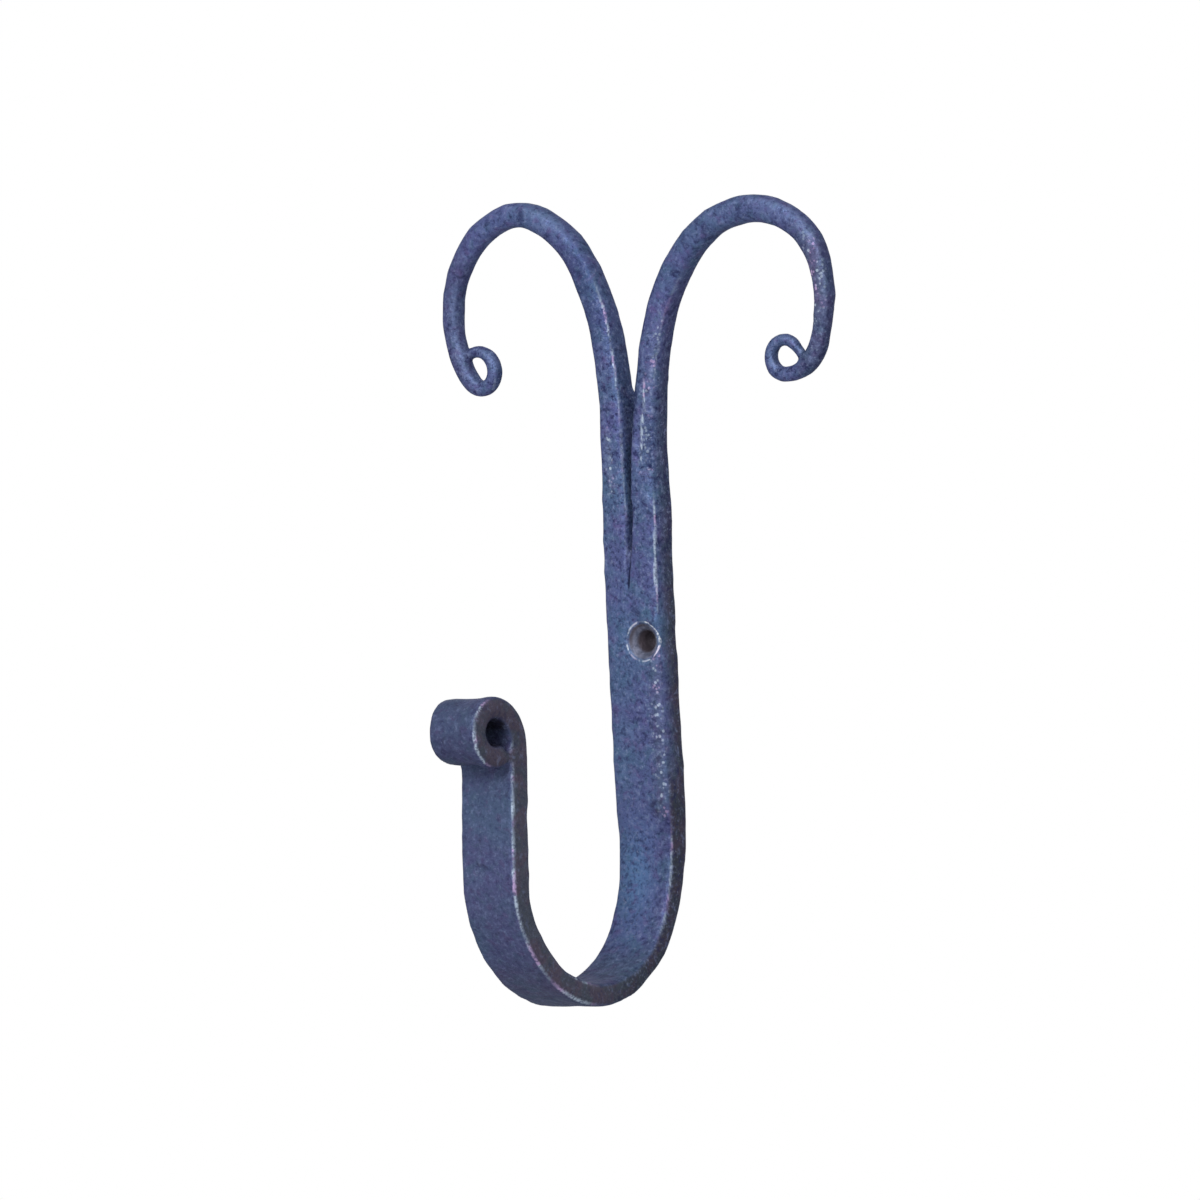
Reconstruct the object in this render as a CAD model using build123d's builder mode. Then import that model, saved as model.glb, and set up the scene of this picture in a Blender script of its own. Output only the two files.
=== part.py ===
"""Wall coat hook forged from one flat bar.

The bar stands flat against the wall.  Its top end is split down the middle, and the two halves are
drawn out and curled outwards like a ram's horns.  Its lower end bends forwards and up into the hook,
and the tip of the hook is rolled over outwards.  One countersunk screw hole lies below the split.

Frame: millimetres, +Z up, wall plane Y = 0, front towards -Y.  The origin is the centre of the screw
hole at the back face.
"""

from build123d import *

import os
from math import radians
from typing import NamedTuple


class Leg(NamedTuple):
    """One bend of a bar: an arc tangent to the bend before it, and the bar's section where it ends.

    length and turn (degrees, left positive) give the arc.  thickness is the section's size in the
    plane of the bend, breadth its size across that plane, corner the rounding of its four edges, and
    drift how far it has moved sideways out of the plane.
    """

    length: float
    turn: float
    thickness: float
    breadth: float
    corner: float
    drift: float = 0.0


# bar stock
bar_width = 12.7
bar_thickness = 6.0
edge_round = 1.2

# screw hole, countersunk in front, drilled off centre and close to the right edge
bore_radius = 1.9
sink_radius = 3.5
sink_wall = 0.45  # metal left between the countersink and that edge
overcut = 1.0  # how far the hole's cutter stands out of the metal at both faces

# shank: flat and square to the wall between these heights
shank_offset = sink_radius + sink_wall - bar_width / 2
shank_bottom = -12.0
split_foot = 8.0
shank_spread = 0.4  # it swells this far to the right just above the bend

# hook: side view, down the shank, round the bend, up the arm and over the roll
bend_round = 0.8
neck_breadth = 12.5
neck_thickness = 3.6
hook_thickness = 4.0
arm_breadth = 12.2
arm_thickness = 4.8
arm_round = 0.7
roll_thickness = 4.1
roll_inset = 1.8  # the roll's left edge is drawn in this far
roll_breadth = arm_breadth - roll_inset
roll_drift = roll_inset / 2
tip_inset = 1.2  # the tip is rounded off by this much in breadth and in thickness
hook_legs = [
    Leg(14.0, 0.4, 5.8, bar_width + shank_spread, edge_round, shank_spread / 2),
    Leg(7.9, 1.0, 5.3, bar_width + shank_spread / 2, edge_round, shank_spread / 4),
    Leg(15.9, -20.5, 4.1, neck_breadth, 1.0),
    Leg(11.0, -28.0, neck_thickness, neck_breadth, bend_round),
    Leg(15.6, -39.8, hook_thickness, neck_breadth, bend_round),
    Leg(28.6, -67.0, 4.5, arm_breadth, arm_round),
    Leg(9.7, -28.2, arm_thickness, arm_breadth, arm_round),
    Leg(24.6, -2.8, arm_thickness, arm_breadth, arm_round),
    Leg(11.5, 90.0, roll_thickness, arm_breadth - roll_drift, arm_round, roll_drift / 2),
    Leg(6.3, 80.0, roll_thickness, roll_breadth, arm_round, roll_drift),
    Leg(11.4, 138.0, roll_thickness, roll_breadth, arm_round, roll_drift),
    Leg(0.8, 8.0, roll_thickness - tip_inset, roll_breadth - tip_inset, arm_round, roll_drift),
]

# horns: front view, from the foot of the split up, over the crown and round the curl
half_overlap = edge_round + 0.2  # each half starts this far past the middle, so the groove runs out
left_legs = [
    Leg(9.0, 4.7, 6.4, bar_thickness, 1.0),
    Leg(9.0, -5.6, 5.8, bar_thickness, 1.0),
    Leg(12.0, 1.2, 5.5, 5.8, 1.4),
    Leg(18.0, 8.1, 5.1, 5.3, 1.5),
    Leg(16.0, 21.2, 5.0, 5.0, 1.5),
    Leg(14.0, 38.9, 4.7, 4.9, 1.6),
    Leg(9.0, 41.8, 4.4, 4.5, 1.5),
    Leg(9.0, 28.0, 4.1, 4.2, 1.4),
    Leg(16.0, 44.9, 3.6, 3.6, 1.3),
    Leg(6.5, 15.5, 3.5, 3.5, 1.3),
    Leg(5.5, 23.3, 3.2, 3.3, 1.2),
    Leg(6.3, 119.9, 2.5, 2.8, 1.0),
    Leg(8.2, 123.3, 2.1, 2.4, 0.9),
    Leg(1.3, 9.2, 2.0, 2.2, 0.8),
]
right_legs = [
    Leg(9.0, -8.2, 6.4, bar_thickness, 1.0),
    Leg(9.0, 8.4, 5.9, bar_thickness, 1.0),
    Leg(12.0, -4.3, 5.2, 5.6, 1.4),
    Leg(18.0, -8.1, 4.9, 5.2, 1.5),
    Leg(20.0, -30.0, 5.0, 5.0, 1.5),
    Leg(18.0, -49.1, 5.2, 4.8, 1.6),
    Leg(10.0, -35.4, 4.4, 4.2, 1.5),
    Leg(10.0, -43.1, 3.7, 3.7, 1.3),
    Leg(13.0, -28.1, 3.0, 3.1, 1.1),
    Leg(5.5, -28.3, 3.0, 3.1, 1.1),
    Leg(6.2, -45.5, 2.9, 3.0, 1.1),
    Leg(6.6, -114.5, 2.4, 2.6, 1.0),
    Leg(6.2, -108.6, 2.1, 2.3, 0.8),
    Leg(2.8, -14.0, 1.6, 1.8, 0.6),
]


def section_face(plane, point, direction, section):
    """The bar's rounded section at one point of its path, square to the bar."""
    across = plane.z_dir
    origin = plane.from_local_coords(point) + across * section.drift
    way = plane.from_local_coords(direction) - plane.origin
    with BuildSketch(Plane(origin=origin, x_dir=across, z_dir=way)) as outline:
        RectangleRounded(section.breadth, section.thickness, section.corner)
    return outline.sketch.face()


def forged_bar(plane, start, heading, first, legs):
    """Sweeps a bar along a chain of tangent arcs drawn in plane, easing its section over each."""
    point, section = Vector(*start), first
    direction = Vector(1, 0).rotate(Axis.Z, heading)
    with BuildPart() as bar:
        for leg in legs:
            with BuildLine():
                arc = JernArc(point, direction, leg.length / radians(abs(leg.turn)), leg.turn)
            ends = [
                section_face(plane, arc @ 0, arc % 0, section),
                section_face(plane, arc @ 1, arc % 1, leg),
            ]
            sweep(sections=ends, path=plane.from_local_coords(arc), multisection=True)
            point, direction, section = arc @ 1, arc % 1, leg
    return bar.part


side_view = Plane.YZ.offset(shank_offset)
front_view = Plane.XZ.offset(bar_thickness / 2)
stock = Leg(0, 0, bar_thickness, bar_width, edge_round)
half_width = bar_width / 2 + half_overlap
half_stock = Leg(0, 0, half_width, bar_thickness, edge_round)
half_shift = (bar_width - half_width) / 2

hook = forged_bar(side_view, (-bar_thickness / 2, shank_bottom), -90.0, stock, hook_legs)
left_horn = forged_bar(front_view, (shank_offset - half_shift, split_foot), 90.0, half_stock, left_legs)
right_horn = forged_bar(front_view, (shank_offset + half_shift, split_foot), 90.0, half_stock, right_legs)

with BuildPart() as coat_hook:
    with BuildSketch(Plane.XY.offset(shank_bottom)):
        with Locations((shank_offset, -bar_thickness / 2)):
            RectangleRounded(bar_width, bar_thickness, edge_round)
    extrude(amount=split_foot - shank_bottom)
    add([hook, left_horn, right_horn])
    with BuildSketch(Plane.XY):
        with BuildLine():
            Polyline(
                (0, overcut),
                (bore_radius, overcut),
                (bore_radius, sink_radius - bore_radius - bar_thickness),
                (sink_radius + overcut, -overcut - bar_thickness),
                (0, -overcut - bar_thickness),
                close=True,
            )
        make_face()
    revolve(axis=Axis.Y, mode=Mode.SUBTRACT)

coat_hook.part.label = "coat_hook"
os.makedirs("parts", exist_ok=True)
export_step(coat_hook.part, "parts/coat_hook.step")
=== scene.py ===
"""Forged coat hook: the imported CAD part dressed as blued, hand-hammered steel."""
from math import cos, radians, sin
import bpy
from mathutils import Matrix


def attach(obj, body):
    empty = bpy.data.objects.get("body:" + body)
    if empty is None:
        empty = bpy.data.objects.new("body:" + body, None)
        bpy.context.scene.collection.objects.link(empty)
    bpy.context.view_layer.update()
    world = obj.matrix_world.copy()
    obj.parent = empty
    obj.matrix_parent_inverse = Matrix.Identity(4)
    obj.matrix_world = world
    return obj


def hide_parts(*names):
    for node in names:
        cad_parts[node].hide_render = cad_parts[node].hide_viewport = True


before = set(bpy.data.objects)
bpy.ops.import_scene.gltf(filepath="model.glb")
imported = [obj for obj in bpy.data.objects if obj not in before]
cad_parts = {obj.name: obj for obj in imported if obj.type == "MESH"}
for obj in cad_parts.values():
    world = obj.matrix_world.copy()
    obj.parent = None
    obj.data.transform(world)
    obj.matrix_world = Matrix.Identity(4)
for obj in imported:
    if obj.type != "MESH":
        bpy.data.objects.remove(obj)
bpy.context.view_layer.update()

from types import SimpleNamespace

import bpy
import numpy as np
from mathutils import Matrix, Vector, noise

# The mesh is worked in millimetres; the material, the camera and the lamps are in metres. Seen from the
# front, X runs to the right, Y into the wall and Z up, from the middle of the screw hole at the wall.
MM = 0.001
NODE = "coat_hook"
VOXEL = 0.38  # spacing of the dressed mesh
FRONT_FACE = -6.0  # Y of the shank's front
SHANK_REACH = -11.0  # Y beyond which the bar is no longer the shank
HOLE_REACH = -7.5  # the same close to the hole, past the hammered front
SINK_RADIUS, BORE_RADIUS = 3.5, 1.9  # the screw hole's mouth and bore
RING_RADIUS = SINK_RADIUS + 0.22  # the bright ring round the mouth
ROLL_CENTRE = (-56.0, -13.7)  # Y and Z of the rolled tip's axis
ROLL_RADIUS = 6.7
ROLL_REACH = ROLL_RADIUS + 1.5  # takes in the roll and the top of the arm under it
SPLIT_LEAN = 0.04  # the split's middle goes this much right for each millimetre up
CHISEL_START = (-2.75, 9.0)  # X and Z of the lower end of the chisel line below the split
CHISEL_LEAN = 0.06  # the same as the split's lean, for that line
CHISEL_FOOT, CHISEL_RUN = 8.5, 14.5  # Z where its cut fades out, and how far up it goes on deepening
CHISEL_DEPTH = 2.6  # at the top, where it joins the split's groove
SHOULDER = 31.7  # Z of the small shoulder on the right half's front


# ---------------------------------------------------------------- shaping values

def ramp(x, low, high):
    """0 up to low, 1 from high, smooth between."""
    t = np.clip((x - low) / (high - low), 0, 1)
    return t * t * (3 - 2 * t)


def fade(x, low, high):
    """1 up to low, 0 from high, smooth between."""
    return 1 - ramp(x, low, high)


def band(x, low, full, wane, high):
    """1 from full to wane, 0 outside low and high."""
    return ramp(x, low, full) * fade(x, wane, high)


def lobe(x, centre, width):
    """A soft bump round the centre."""
    return np.exp(-((x - centre) / width) ** 2)


def stroke(x, z, start, end, width):
    """1 on the line between two (x, z) points seen from the front, fading across and at its ends."""
    along = np.clip((z - start[1]) / (end[1] - start[1]), 0, 1)
    across = x - start[0] - along * (end[0] - start[0])
    return band(z, start[1], start[1] + 2, end[1] - 2, end[1]) * lobe(across, 0, width)


def soft_noise(points, size, seed):
    """Smooth noise from -1 to 1 with lumps about size millimetres across."""
    shift = Vector((seed * 17.3, seed * -9.1, seed * 5.7))
    return np.array([noise.noise(Vector(p) / size + shift) for p in points])


def hammer_planes(points, size, seed):
    """Shallow dishes with soft ridges between them, 0 in a dish's middle and 1 on a ridge."""
    shift = Vector((seed * 3.1, seed * 7.9, seed * -4.3))
    near = np.array([noise.voronoi(Vector(p) / size + shift)[0][:2] for p in points])
    return np.clip(near[:, 0] / np.maximum(near[:, 1], 1e-6), 0, 1) ** 2


# ---------------------------------------------------------------- mesh

def remeshed(source, name):
    """A copy of the CAD solid's mesh on an even grid, in millimetres."""
    rough = bpy.data.objects.new(name + "_rough", source.data.copy())
    rough.data.transform(Matrix.Scale(1 / MM, 4))
    bpy.context.scene.collection.objects.link(rough)
    grid = rough.modifiers.new("grid", "REMESH")
    grid.mode = "VOXEL"
    grid.voxel_size = VOXEL
    graph = bpy.context.evaluated_depsgraph_get()
    graph.update()
    mesh = bpy.data.meshes.new_from_object(rough.evaluated_get(graph))
    bpy.data.objects.remove(rough)
    mesh.name = name
    return mesh


def read_points(mesh):
    values = np.empty(len(mesh.vertices) * 3)
    mesh.vertices.foreach_get("co", values)
    return values.reshape(-1, 3)


def write_points(mesh, points):
    mesh.vertices.foreach_set("co", points.ravel())
    mesh.update()


class Net:
    """The mesh's edges, for averaging a value over each vertex's neighbours."""

    def __init__(self, mesh):
        pairs = np.empty(len(mesh.edges) * 2, int)
        mesh.edges.foreach_get("vertices", pairs)
        self.a, self.b = pairs[::2], pairs[1::2]
        self.count = len(mesh.vertices)
        self.degree = np.maximum(np.bincount(pairs, minlength=self.count), 1)

    def mean(self, values):
        flat = values.reshape(self.count, -1)
        out = np.empty_like(flat, dtype=float)
        for k in range(flat.shape[1]):
            column = flat[:, k]
            out[:, k] = (np.bincount(self.a, column[self.b], self.count)
                         + np.bincount(self.b, column[self.a], self.count)) / self.degree
        return out.reshape(values.shape)

    def smooth(self, values, times):
        """The values, each moved halfway to its neighbours' mean this many times."""
        for _ in range(times):
            values = values + 0.5 * (self.mean(values) - values)
        return values


def unit_normals(net, mesh, times):
    """The vertex normals, smoothed this many times."""
    normals = np.empty(len(mesh.vertices) * 3)
    mesh.vertex_normals.foreach_get("vector", normals)
    normals = net.smooth(normals.reshape(-1, 3), times)
    return normals / np.linalg.norm(normals, axis=1, keepdims=True)


def convexity(net, points, normals, times):
    """How far each point stands out of its smoothed surroundings."""
    return np.einsum("ij,ij->i", points - net.smooth(points, times), normals)


def roll_distance(points):
    """Distance from the rolled tip's axis."""
    return np.hypot(points[:, 1] - ROLL_CENTRE[0], points[:, 2] - ROLL_CENTRE[1])


# ---------------------------------------------------------------- forging

def draw_down_roll(points):
    """Flattens the roll's left part, so that it is a little lower than its right rim."""
    share = fade(roll_distance(points), ROLL_RADIUS + 0.5, ROLL_REACH)
    share *= fade(points[:, 0], -0.5, 3.0)
    behind = ramp(points[:, 1], ROLL_CENTRE[0] + 3.0, ROLL_CENTRE[0] + 5.0)
    share *= 1 - behind * fade(points[:, 2], ROLL_CENTRE[1] - 6.0, ROLL_CENTRE[1])
    points[:, 2] += share * (0.14 - 0.095 * (points[:, 2] - ROLL_CENTRE[1]))
    return points


def round_off(net, points):
    """Softens the stock's front edges, the drawn-down horns and the roll's eye, as hammering does."""
    x, y, z = points.T
    share = np.maximum(ramp(z, -30, -5) * ramp(-y, 1.0, 3.0), ramp(z, 58, 70))
    share = share * ramp(np.hypot(x, z), 4.6, 6.5)
    share = np.maximum(share, fade(roll_distance(points), 3.6, 4.6))
    return points + share[:, None] * (net.smooth(points, 16) - points)


def split_groove(points, normals):
    """Runs the split's chisel line out down the front, and returns where it is cut."""
    x, y, z = points.T
    run = np.clip((z - CHISEL_FOOT) / CHISEL_RUN, 0, 1)
    across = x - CHISEL_START[0] - CHISEL_LEAN * (z - CHISEL_START[1])
    front = ramp(-normals[:, 1], 0.3, 0.7) * ramp(-y, 3.0, 4.5) * fade(z, 24.5, 27.0)
    cut = front * lobe(across, 0, 0.20 + 0.34 * run)
    points[:, 1] += cut * (0.12 * ramp(run, 0, 0.1) + CHISEL_DEPTH * run)
    return cut * ramp(run, 0, 0.25)


def burr_bore(points):
    """Closes the drilled bore's far mouth a little and leans it to the right."""
    radius = np.hypot(points[:, 0], points[:, 2])
    burr = fade(radius, 2.7, 3.3) * ramp(points[:, 1], -4.6, -3.0)
    points[:, [0, 2]] *= (1 - 0.28 * burr / np.maximum(radius, 0.5))[:, None]
    points[:, 0] += 0.34 * burr


def hammer_dents(net, points, normals):
    """How far the hammer raised each point, below 0 where it sank it."""
    x, _, z = points.T
    dent = 0.16 * (hammer_planes(points, 9.0, 1) - 0.45)
    dent += 0.08 * soft_noise(points, 6.0, 2) + 0.03 * soft_noise(points, 1.6, 3)
    # edges are knocked in here and there
    corner = ramp(convexity(net, points, normals, 8), 0.02, 0.08)
    dent -= 0.12 * corner * ramp(soft_noise(points, 4.5, 5), 0.0, 0.6)
    dent = net.smooth(dent, 2)
    # the right half's front is set back above a small shoulder
    half = ramp(x, 0.2, 1.2) * ramp(-normals[:, 1], 0.5, 0.9)
    return dent - 0.42 * half * band(z, SHOULDER - 0.2, SHOULDER + 0.3, 36.0, 46.0)


def spread_metal(points, normals, away):
    """What smoothing took off the bar, to be put back, with more where the hammer spread it."""
    x, _, z = points.T
    right, left = ramp(normals[:, 0], 0.3, 0.8), ramp(-normals[:, 0], 0.3, 0.8)
    swell = 0.10 + 0.08 * (right + left)
    # beside the split's foot, on the right horn's outside and on the roll's left end
    swell += lobe(z, 13.5, 5.5) * (np.abs(x) < 9) * (0.26 * left + 0.12 * right)
    swell += 0.20 * right * (x > 36) + 0.30 * left * (away < ROLL_REACH)
    # the right curl is thinner and the roll's eye stays open
    swell *= 1 - 0.6 * band(x, 24, 27, 38, 40) * fade(z, 58, 62)
    swell *= 1 - (away < 4.6) * (np.abs(normals[:, 0]) < 0.5)
    return swell * ramp(np.hypot(x, z), 4.2, 5.0)


def chisel_fin(points, normals):
    """A fin that the chisel left at the back of the split's foot."""
    x, y, z = points.T
    inner = ramp(normals[:, 0], 0.3, 0.8) * (x < SPLIT_LEAN * z)
    return 0.7 * inner * ramp(y, -4.0, -1.0) * band(z, 40.5, 45.5, 45.8, 47.8)


def forge(mesh):
    """Hammers the even mesh, marks it for the material and returns the marks' names."""
    net = Net(mesh)
    points = round_off(net, draw_down_roll(net.smooth(read_points(mesh), 3)))
    write_points(mesh, points)
    normals = unit_normals(net, mesh, 4)
    groove = split_groove(points, normals)
    burr_bore(points)
    away = roll_distance(points)
    # the back stays flat against the wall
    free = 1 - ramp(points[:, 1], -1.2, -0.2) * ramp(normals[:, 1], 0.3, 0.9)
    dent = hammer_dents(net, points, normals) * free
    swell = net.smooth(spread_metal(points, normals, away) * free, 3)
    fin = chisel_fin(points, normals)
    points = points + normals * (dent + swell)[:, None]
    points[:, 0] += fin
    write_points(mesh, points)
    found = marks(Surface(net, mesh, points, away, groove))
    for name, values in found.items():
        layer = mesh.attributes.new(name, "FLOAT", "POINT")
        layer.data.foreach_set("value", np.ascontiguousarray(values, dtype=np.float32))
    write_points(mesh, points * MM)
    return list(found)


# ---------------------------------------------------------------- marks for the material

class Surface:
    """The hammered surface, which the marks are worked out from."""

    def __init__(self, net, mesh, points, away, groove):
        self.net, self.points, self.away, self.groove = net, points, away, groove
        self.x, self.y, self.z = points.T
        self.normals = unit_normals(net, mesh, 1)
        # how far it faces right and towards the wall, -1 to 1, and where it faces the front, 0 to 1
        self.right, self.wallward = self.normals[:, 0], self.normals[:, 1]
        self.front = ramp(-self.wallward, 0.4, 0.8)
        self.shank_front = self.front * (self.y > SHANK_REACH)
        self.left_half = self.x < SPLIT_LEAN * self.z
        # the left half's face inside the split
        self.facet = self.left_half * ramp(self.right, 0.5, 0.9) * band(self.z, 16, 24, 46, 56)
        self.radius = np.hypot(self.x, self.z)  # from the screw hole's axis


def worn_and_glinting_edges(s):
    """Pale rubbed edges with painted glints, from 0 to 1."""
    x, y, z = s.x, s.y, s.z
    # the line along the middle of the right front edge, where the surface faces halfway to the side: rubbed
    # metal with a painted glint
    sharp = ramp(-y, 10, 16) * (1 - 0.8 * ramp(z, -24, -20))
    wide = band(s.right, 0.54 - 0.08 * sharp, 0.66 - 0.08 * sharp, 0.76 + 0.06 * sharp, 0.88 + 0.06 * sharp)
    edge = np.where(z > 40, band(s.right, 0.60, 0.68, 0.74, 0.82), wide)
    ridge = band(z, 46, 49, 62, 71) * (np.abs(x) < 20)
    worn_and_glinting = np.maximum.reduce([
        np.where(x < SPLIT_LEAN * (z - 46), 1.4 * ridge, 0.35 * ridge),  # the horns' ridges
        0.35 * ramp(z, 14, 18) * (x < 0) * (z < 50),
        (1.5 - 0.5 * ramp(z, 10, 15)) * band(z, 5, 7, 24, 30) * (x > 0),  # above the hole
        1.5 * ramp(-y, 28, 38) * (z < -10) + (s.away < ROLL_REACH),  # the arm and the roll
        0.6 * band(-z, 33, 38, 51, 57) * (y > -20),  # the bend
    ])
    eye = fade(s.away, 5.2, 5.6) * ramp(-y, 45, 48)
    faced = np.where(z < -45, s.wallward < 0.2, ramp(-s.wallward, 0.1, 0.4))
    return np.clip(worn_and_glinting * (1 - eye) * edge * faced, 0, 1)


def painted_glint_line(s):
    """A painted highlight line up the right half's front, where its left edge rounds over."""
    lower = stroke(s.x, s.z, (1.1, 32.5), (2.9, 45.5), 0.25)
    upper = stroke(s.x, s.z, (2.9, 42), (3.4, 50), 0.22)
    return np.maximum(lower, upper) * s.shank_front


def bright_dots_and_glints(s):
    """Where bright dots are scattered: worn spots where the hammer skidded, and painted glints."""
    x, z = s.x, s.z
    return s.shank_front * np.maximum.reduce([
        0.3 * stroke(x, z, (2.6, 33), (4.2, 50), 1.0),
        0.5 * stroke(x, z, (3.0, 44), (9.0, 64), 1.2),
        0.7 * stroke(x, z, (-5.6, 27), (-6.0, 41), 0.7),
        0.5 * stroke(x, z, (2.6, -34), (3.2, 2), 1.3),
        0.8 * lobe(x, 43, 2.4) * lobe(z, 66, 8),
        0.8 * lobe(z, SHOULDER, 0.5) * band(x, 1.0, 1.8, 5.0, 6.2),
    ])


def dark_scale_and_shade(s):
    """Patches of darker scale, and painted shade on the roll, the horns' sides and inside the split."""
    x, y, z = s.x, s.y, s.z
    upright = fade(-y, 12, 20) * s.front
    # above the shoulder, down the shank's right and inside the left horn
    shade = 0.5 * ramp(x, 2.2, 3.4) * (x < 12) * band(z, 31.5, 32.5, 38, 44) * s.front
    shade += 0.22 * ramp(x, 0.5, 2.5) * fade(z, -6, 0) * upright
    shade += 0.28 * band(z, 52, 60, 72, 78) * (x < 0) * (x > -20) * s.front
    # spots where the shank starts to bend
    spots = ramp(soft_noise(s.points, 1.3, 8), 0.0, 0.25) * lobe(z, -31.5, 1.8)
    shade += 0.6 * spots * ramp(x, -1.0, 1.0) * upright
    # painted shade on the roll, most of all inside its eye
    shade += 0.15 * ramp(-y, 46, 50) * ramp(z, -24, -21)
    shade += 0.6 * fade(s.away, 3.4, 4.2) * fade(np.abs(s.right), 0.5, 0.9)
    # painted shade on the horns' sides and on their left-facing surfaces
    shade += 0.2 * ramp(z, 44, 52) * ramp(s.wallward, -0.6, 0.2)
    shade += 0.3 * ramp(z, 40, 52) * ramp(-s.right, 0.0, 0.7)
    # painted shade on the two faces inside the split, deepest towards the wall
    shade += s.facet * (0.1 + 0.25 * ramp(y, -5.0, -1.5))
    shade += 0.35 * ramp(-s.right, 0.0, 0.4) * (x > 0) * (x < 6) * band(z, 30, 36, 46, 52)
    return shade


def fire_scale_and_side_shade(s):
    """Grey fire scale on the bar's sides, and on the shank mostly towards the wall; the material also
    darkens these sides with it as painted shade.
    """
    x, y, z = s.x, s.y, s.z
    side = ramp(s.net.smooth(np.abs(s.right), 3), 0.55, 0.95)
    hooked = np.maximum(ramp(-y, 9, 16), fade(z, -32, -16))
    side *= np.maximum(hooked, ramp(y, -5.6, -1.2) * (0.25 + 0.75 * fade(z, 40, 60)))
    side = np.maximum(side, 0.8 * ramp(-s.right, 0.5, 0.85))
    side *= 1 - 0.7 * s.left_half * (s.right > 0) * ramp(z, 12, 20)
    # and a little on the horns' outer limbs, the right half's left bevel and the U's foot
    return np.maximum.reduce([
        side,
        (0.22 + 0.2 * (x > 0)) * ramp(np.abs(x), 37, 41) * fade(z, 72, 80),
        0.5 * ramp(-s.right, 0.15, 0.5) * (x > 0) * band(z, 26, 32, 46, 52),
        0.3 * fade(z, -62, -55),
    ])


def hole_marks(s):
    """The rim round the countersink, the bare hole, and painted shade down the bore and inside the mouth's
    upper left.
    """
    reach = np.maximum(s.radius, 1)
    rim = (s.radius < 5.5) * ramp(-s.y, 4.9, 5.4)
    rim = rim * (0.4 + 0.6 * ramp(s.x / reach, -1.0, 0.7)) * (1 - 0.6 * ramp(-s.z / reach, 0.4, 0.9))
    bore = fade(s.radius, SINK_RADIUS - 0.3, SINK_RADIUS - 0.05) * ramp(-s.y, 0.1, 0.6) * (s.y > HOLE_REACH)
    upper_left = 0.75 * ramp(s.radius, 2.6, 3.1) * ramp((s.z - s.x) / reach, 0.2, 1.2)
    deep = bore * np.maximum(fade(s.radius, BORE_RADIUS, BORE_RADIUS + 0.5), upper_left)
    return rim, bore, deep


def blue_sheen(s):
    """Painted blue sheen inside the bend, left of the hole and on the left crown, and a bluer tint inside
    the split.
    """
    sheen = lobe(s.z, -44, 9.5) * lobe(s.x, -3.8, 3.7) * fade(-s.y, 14, 26)
    sheen += 0.2 * lobe(s.z, 3, 8) * lobe(s.x, -4.5, 3) * s.front
    return sheen + 0.25 * lobe(s.z, 79, 5) * lobe(s.x, -29, 8) + 0.4 * s.facet


def marks(s):
    """The values that the material reads from the mesh, by name."""
    rim, bore, deep = hole_marks(s)
    form = convexity(s.net, s.points, s.normals, 40)
    # a painted highlight along the horns, where they face front, right and up
    lit = ramp(s.normals @ np.array((0.50, -0.79, 0.35)), 0.74, 0.96)
    crowns = ramp(s.z, 40, 50) * np.maximum(ramp(s.z, 72, 82), ramp(np.abs(s.x), 18, 24))
    near_split = band(s.z, CHISEL_FOOT, CHISEL_FOOT + 3, 22, 25) * (np.abs(s.x) < 6) * (s.y > HOLE_REACH)
    return {
        "wear": worn_and_glinting_edges(s),
        "dots": bright_dots_and_glints(s),
        "score": painted_glint_line(s),
        "split": near_split * ramp(-s.wallward, -0.4, 0.4),  # where the fine chisel line is drawn
        # painted shade in the hollows and down the split's groove
        "crease": 0.7 * np.maximum(ramp(-form, 0.05, 0.9), s.groove),
        "shade": dark_scale_and_shade(s),
        "polish": lit * crowns,
        "side": fire_scale_and_side_shade(s),
        # the ring's rim, the bare hole, and painted shade in the hole
        "rim": rim, "bore": bore, "deep": deep,
        "arm": ramp(-s.y, 14.0, 34.0),  # the arm and roll are drawn darker, greyer and finer-grained
        "sheen": blue_sheen(s),
    }


# ---------------------------------------------------------------- material

def srgb(r, g, b):
    def linear(v):
        v /= 255
        return v / 12.92 if v <= 0.04045 else ((v + 0.055) / 1.055) ** 2.4
    return (linear(r), linear(g), linear(b), 1.0)


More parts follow.
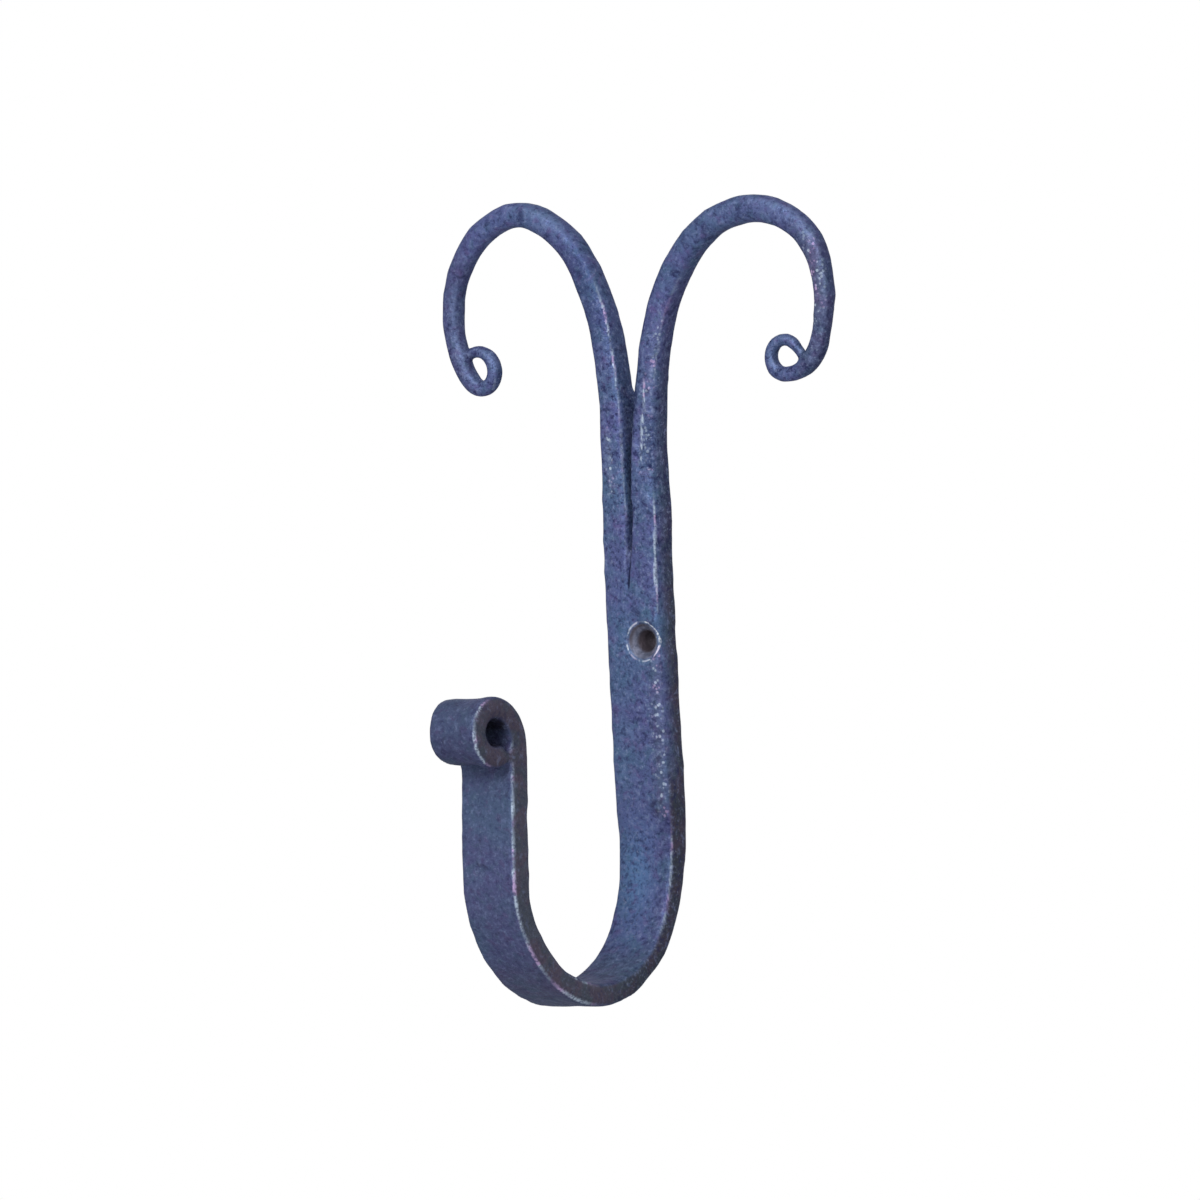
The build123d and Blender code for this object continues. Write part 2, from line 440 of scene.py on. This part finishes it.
class Tree:
    """Short names for building a node tree."""

    def __init__(self, owner):
        owner.use_nodes = True
        self.tree = owner.node_tree
        self.tree.nodes.clear()

    def node(self, kind, **settings):
        made = self.tree.nodes.new(kind)
        for key, value in settings.items():
            setattr(made, key, value)
        return made

    def link(self, source, target):
        self.tree.links.new(source, target)

    def put(self, target, value):
        if hasattr(value, "is_output"):
            self.link(value, target)
        else:
            target.default_value = value

    def math(self, operation, a, b=0.0, clamp=False):
        made = self.node("ShaderNodeMath", operation=operation, use_clamp=clamp)
        self.put(made.inputs[0], a)
        self.put(made.inputs[1], b)
        return made.outputs[0]

    def add(self, a, b, clamp=False):
        return self.math("ADD", a, b, clamp)

    def sub(self, a, b):
        return self.math("SUBTRACT", a, b)

    def mul(self, a, b, clamp=False):
        return self.math("MULTIPLY", a, b, clamp)

    def maximum(self, a, b):
        return self.math("MAXIMUM", a, b)

    def mix(self, share, a, b):
        made = self.node("ShaderNodeMix", data_type="RGBA", blend_type="MIX")
        self.put(made.inputs["Factor"], share)
        self.put(made.inputs[6], a)
        self.put(made.inputs[7], b)
        return made.outputs[2]

    def layers(self, colour, *laid):
        """The colour with each (share, colour) laid over it in turn."""
        for share, over in laid:
            colour = self.mix(share, colour, over)
        return colour

    def mix_shaders(self, share, a, b):
        made = self.node("ShaderNodeMixShader")
        for target, source in zip(made.inputs, (share, a, b)):
            self.link(source, target)
        return made.outputs[0]

    def glowing(self, kind, strength=1.0):
        """A white background or emission."""
        made = self.node(kind)
        made.inputs["Color"].default_value = (1.0, 1.0, 1.0, 1.0)
        made.inputs["Strength"].default_value = strength
        return made.outputs[0]

    def span(self, value, low, high, out_low=0.0, out_high=1.0):
        made = self.node("ShaderNodeMapRange", interpolation_type="SMOOTHSTEP")
        self.put(made.inputs["Value"], value)
        made.inputs["From Min"].default_value = low
        made.inputs["From Max"].default_value = high
        made.inputs["To Min"].default_value = out_low
        made.inputs["To Max"].default_value = out_high
        return made.outputs["Result"]

    def line(self, value, centre, edge, core):
        """1 where the value is within core of the centre, 0 from edge on."""
        return self.span(self.math("ABSOLUTE", self.sub(value, centre)), edge, core)

    def noise(self, where, size, detail=2.0, roughness=0.5, distortion=0.0):
        """Noise with lumps about size metres across."""
        made = self.node("ShaderNodeTexNoise")
        self.link(where, made.inputs["Vector"])
        made.inputs["Scale"].default_value = 1.0 / size
        made.inputs["Detail"].default_value = detail
        made.inputs["Roughness"].default_value = roughness
        made.inputs["Distortion"].default_value = distortion
        return made.outputs["Fac"]

    def attribute(self, name):
        return self.node("ShaderNodeAttribute", attribute_name=name).outputs["Fac"]

    def cells(self, where, size):
        """Distance to the nearest of points about size metres apart, 0 at each."""
        made = self.node("ShaderNodeTexVoronoi")
        self.link(where, made.inputs["Vector"])
        made.inputs["Scale"].default_value = 1.0 / size
        return made.outputs["Distance"]


def oxide_colour(t, n, m):
    """The heat-blued skin: blue with teal and violet clouds, patches and specks, and the painted sheen and
    horn highlight.
    """
    colour = t.mix(t.span(n.clouds, 0.38, 0.62), srgb(84, 92, 138), srgb(78, 100, 136))
    return t.layers(
        colour,
        (t.mul(t.span(n.tints, 0.52, 0.70), 0.6), srgb(72, 100, 130)),
        (t.mul(t.span(n.tints, 0.47, 0.30), 0.25), srgb(82, 78, 126)),
        # painted blue sheen
        (t.mul(m.sheen, 0.8), srgb(92, 124, 172)),
        # painted highlight along the horns
        (t.mul(m.polish, 0.5), srgb(112, 134, 168)),
        (t.span(n.z, 0.026, 0.040, 0.0, 0.22), srgb(86, 82, 138)),
        (t.mul(t.span(n.hues, 0.54, 0.70), 0.34), srgb(70, 102, 124)),
        (t.mul(t.span(n.hues, 0.46, 0.30), 0.42), srgb(92, 76, 126)),
        (t.mul(t.span(n.patches, 0.56, 0.74), 0.58), srgb(98, 118, 160)),
        (t.mul(t.span(n.patches, 0.44, 0.28), 0.7), srgb(48, 56, 92)))


def scaled_colour(t, n, m, high, colour):
    """Grey fire scale on the bar's sides, most of all round the hook, and darker scale in patches, together
    with painted shade on the sides, the roll, the horns and inside the split; the arm and roll are drawn
    darker and greyer.
    """
    scale = t.mix(t.span(n.tints, 0.40, 0.60), srgb(98, 86, 96), srgb(80, 88, 94))
    grey = t.sub(t.add(t.mul(m.arm, 0.08), 0.84), t.mul(high, 0.2))
    dark = t.add(t.mul(m.arm, 0.18), t.mul(t.sub(1.0, m.arm), t.mul(m.side, 0.6)))
    return t.layers(
        colour,
        (t.mul(m.side, grey), scale),
        (t.mul(m.arm, 0.28), srgb(80, 80, 102)),
        # darker scale and painted shade, towards a deep blue-grey
        (t.add(dark, m.shade, clamp=True), t.mix(high, srgb(38, 36, 48), srgb(24, 40, 80))))


def granular_colour(t, n, m, high, colour):
    """The granular skin of scale and wax, finest on the arm and the horns, and painted shade in the
    creases.
    """
    coarse = t.sub(t.add(t.mul(high, 0.35), 0.95), t.mul(m.arm, 0.40))
    coarse = t.sub(coarse, t.span(n.z, 0.045, 0.070, 0.0, 0.4))
    # the chisel line below the split is as fine as a scratch
    chisel = t.sub(n.x, t.mul(t.sub(n.z, CHISEL_START[1] * MM), CHISEL_LEAN))
    chisel = t.mul(t.line(chisel, CHISEL_START[0] * MM, 0.00030, 0.00010), m.split)
    return t.layers(
        colour,
        (t.mul(coarse, t.span(n.flecks, 0.54, 0.72, 0.0, 0.42)), srgb(122, 134, 174)),
        (t.mul(coarse, t.span(n.flecks, 0.46, 0.30, 0.0, 0.60)), srgb(40, 44, 84)),
        (t.mul(coarse, t.span(n.grain, 0.54, 0.72, 0.0, 0.42)), srgb(142, 154, 188)),
        (t.mul(coarse, t.span(n.grain, 0.48, 0.32, 0.0, 0.60)), srgb(34, 38, 76)),
        # painted shade in the hollows and down the split's groove
        (t.mul(m.crease, 0.75), t.mix(high, srgb(14, 18, 44), srgb(12, 24, 66))),
        (t.mul(chisel, 0.85), srgb(14, 18, 44)))


def bare_metal(t, n, m, colour):
    """The bare hole with painted shade down its bore, rubbed edges with painted glints, bright dots, the
    painted highlight line and the ring; also how bright each place is made.
    """
    cone = t.mix(t.span(n.flecks, 0.35, 0.65), srgb(92, 96, 114), srgb(124, 126, 144))
    # the bare countersink, then painted shade down the bore and inside the mouth's upper left
    colour = t.layers(colour, (t.mul(m.bore, 0.9), cone), (t.mul(m.deep, 0.95), srgb(74, 66, 72)))

    uneven = t.mul(t.span(t.noise(n.where, 0.0045), 0.36, 0.58, 0.3, 1.0),
                   t.span(n.specks, 0.36, 0.52, 0.3, 1.0))
    rubbed_and_glinting = t.mul(m.wear, uneven, clamp=True)
    spots = t.mul(t.span(t.cells(n.where, 0.00085), 0.44, 0.24),
                  t.span(t.noise(n.where, 0.0016, 1.0), 0.40, 0.54, 0.2, 1.5))
    dotted = t.mul(m.dots, t.add(spots, 0.12), clamp=True)
    # a thin, broken ring round the countersink's mouth: worn metal with a painted highlight
    radius = t.math("SQRT", t.add(t.mul(n.x, n.x), t.mul(n.z, n.z)))
    ring = t.mul(m.rim, t.line(radius, RING_RADIUS * MM, 0.00022, 0.00006))
    ring = t.mul(ring, t.span(t.noise(n.where, 0.0013), 0.42, 0.54, 0.1, 1.3), clamp=True)
    # the painted highlight line is made of short upright glints
    tall = t.node("ShaderNodeCombineXYZ")
    for axis, place in (("X", n.x), ("Y", n.y), ("Z", t.mul(n.z, 0.35))):
        t.link(place, tall.inputs[axis])
    glints = t.mul(m.score, t.span(t.noise(tall.outputs[0], 0.0007), 0.44, 0.60, 0.1, 1.3), clamp=True)

    bright = t.maximum(t.maximum(rubbed_and_glinting, glints), t.maximum(dotted, ring))
    # pale metal for the rubbed spots and for the painted glints and highlights
    worn_and_glinting = t.mix(t.span(n.tints, 0.42, 0.50), srgb(188, 164, 208), srgb(188, 204, 224))
    return t.layers(colour, (t.mul(bright, 0.85), worn_and_glinting), (t.mul(ring, 0.6), srgb(226, 228, 236))), bright


def blued_steel(mark_names):
    """Blued steel with fire scale, a granular skin, rubbed edges and a bare screw hole."""
    material = bpy.data.materials.new("blued_forged_steel")
    t = Tree(material)
    where = t.node("ShaderNodeTexCoord").outputs["Object"]
    axes = t.node("ShaderNodeSeparateXYZ")
    t.link(where, axes.inputs[0])
    n = SimpleNamespace(
        where=where, x=axes.outputs["X"], y=axes.outputs["Y"], z=axes.outputs["Z"],
        clouds=t.noise(where, 0.014),
        tints=t.noise(where, 0.0050, 3.0, 0.6, 0.6),
        patches=t.noise(where, 0.0024, 3.0, 0.6, 0.8),
        hues=t.noise(where, 0.0017, 2.0, 0.5, 0.4),
        flecks=t.noise(where, 0.0012, 2.0, 0.6),
        grain=t.noise(where, 0.00070, 3.0, 0.7),
        specks=t.noise(where, 0.00050, 1.0, 0.5))
    m = SimpleNamespace(**{name: t.attribute(name) for name in mark_names})

    high = t.span(n.z, 0.0, 0.030)  # the shank's upper part and the horns
    colour = scaled_colour(t, n, m, high, oxide_colour(t, n, m))
    colour, bright = bare_metal(t, n, m, granular_colour(t, n, m, high, colour))

    rough = t.add(t.span(n.grain, 0.3, 0.7, -0.08, 0.08), t.span(n.patches, 0.3, 0.7, 0.56, 0.44))
    bump = t.node("ShaderNodeBump")
    bump.inputs["Strength"].default_value = 0.7
    bump.inputs["Distance"].default_value = 0.00026
    t.link(t.add(t.mul(n.grain, 0.7), t.mul(n.flecks, 1.2)), bump.inputs["Height"])

    shader = t.node("ShaderNodeBsdfPrincipled")
    t.link(colour, shader.inputs["Base Color"])
    t.link(t.sub(rough, t.mul(bright, 0.1)), shader.inputs["Roughness"])
    t.link(bump.outputs["Normal"], shader.inputs["Normal"])
    shader.inputs["Metallic"].default_value = 0.4
    shader.inputs["Specular IOR Level"].default_value = 0.15
    shader.inputs["Specular Tint"].default_value = (0.28, 0.30, 0.42, 1.0)
    t.link(shader.outputs["BSDF"], t.node("ShaderNodeOutputMaterial").inputs["Surface"])
    return material


# ---------------------------------------------------------------- the piece

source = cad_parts[NODE]
mesh = remeshed(source, "forged_hook")
steel = blued_steel(forge(mesh))
mesh.materials.clear()
mesh.materials.append(steel)
mesh.polygons.foreach_set("use_smooth", np.ones(len(mesh.polygons), bool))
hook = bpy.data.objects.new("forged_hook", mesh)
bpy.context.scene.collection.objects.link(hook)
source.data.materials.clear()
source.data.materials.append(steel)
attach(hook, "root")
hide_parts(NODE)


# ---------------------------------------------------------------- camera

def place_camera(azimuth, elevation, roll, right, below, distance):
    """A long lens, aimed so that the hole's mouth is this far right of and below the picture's middle."""
    back = Vector((sin(azimuth) * cos(elevation), -cos(azimuth) * cos(elevation), sin(elevation)))
    level = Vector((cos(azimuth), sin(azimuth), 0.0))
    upright = back.cross(level)
    across = level * cos(roll) - upright * sin(roll)
    over = level * sin(roll) + upright * cos(roll)
    target = Vector((0.0, FRONT_FACE * MM, 0.0)) - across * right + over * below
    turn = Matrix((across, over, back)).transposed().to_4x4()
    camera = bpy.data.objects.new("camera", bpy.data.cameras.new("camera"))
    camera.data.sensor_width = 36.0
    camera.data.lens = 400.0
    camera.data.clip_end = 50.0
    camera.matrix_world = Matrix.Translation(target + back * distance) @ turn
    bpy.context.scene.collection.objects.link(camera)
    bpy.context.scene.camera = camera


place_camera(radians(38.0), radians(2.2), radians(2.84), right=7.93 * MM, below=7.78 * MM, distance=2.5)


# ---------------------------------------------------------------- studio

def area(name, place, size, watts):
    """A square white lamp that faces the middle of the hook."""
    lamp = bpy.data.lights.new(name, "AREA")
    lamp.size, lamp.energy, lamp.color = size, watts, (1.0, 1.0, 1.0)
    made = bpy.data.objects.new(name, lamp)
    made.location = place
    made.rotation_euler = (Vector((0.0, -0.03, 0.0)) - Vector(place)).to_track_quat("-Z", "Y").to_euler()
    bpy.context.scene.collection.objects.link(made)


def studio_world():
    """Soft light on the hook, and plain white where the camera or a reflection looks."""
    world = bpy.data.worlds.new("studio")
    bpy.context.scene.world = world
    t = Tree(world)
    path = t.node("ShaderNodeLightPath").outputs
    seen = t.maximum(path["Is Camera Ray"], t.maximum(path["Is Glossy Ray"], path["Is Transmission Ray"]))
    both = t.mix_shaders(seen, t.glowing("ShaderNodeBackground", 0.37), t.glowing("ShaderNodeBackground"))
    t.link(both, t.node("ShaderNodeOutputWorld").inputs["Surface"])


def pale_paint():
    """Matt near-white that the camera sees as the backdrop's white."""
    paint = bpy.data.materials.new("pale_floor")
    t = Tree(paint)
    matt = t.node("ShaderNodeBsdfDiffuse")
    matt.inputs["Color"].default_value = (0.9, 0.9, 0.9, 1.0)
    seen = t.mul(t.node("ShaderNodeLightPath").outputs["Is Camera Ray"], 0.7)
    both = t.mix_shaders(seen, matt.outputs[0], t.glowing("ShaderNodeEmission"))
    t.link(both, t.node("ShaderNodeOutputMaterial").inputs["Surface"])
    return paint


area("key", place=(0.32, -1.58, 0.95), size=0.8, watts=19.5)
area("front", place=(0.65, -1.6, 0.35), size=0.5, watts=2.0)
studio_world()

reach, depth = 2.0, -0.40
floor_mesh = bpy.data.meshes.new("floor")
corners = [(-reach, -reach, depth), (reach, -reach, depth), (reach, reach, depth), (-reach, reach, depth)]
floor_mesh.from_pydata(corners, [], [(0, 1, 2, 3)])
floor_mesh.materials.append(pale_paint())
floor = bpy.data.objects.new("floor", floor_mesh)
bpy.context.scene.collection.objects.link(floor)

bpy.context.scene.view_settings.view_transform = "Standard"
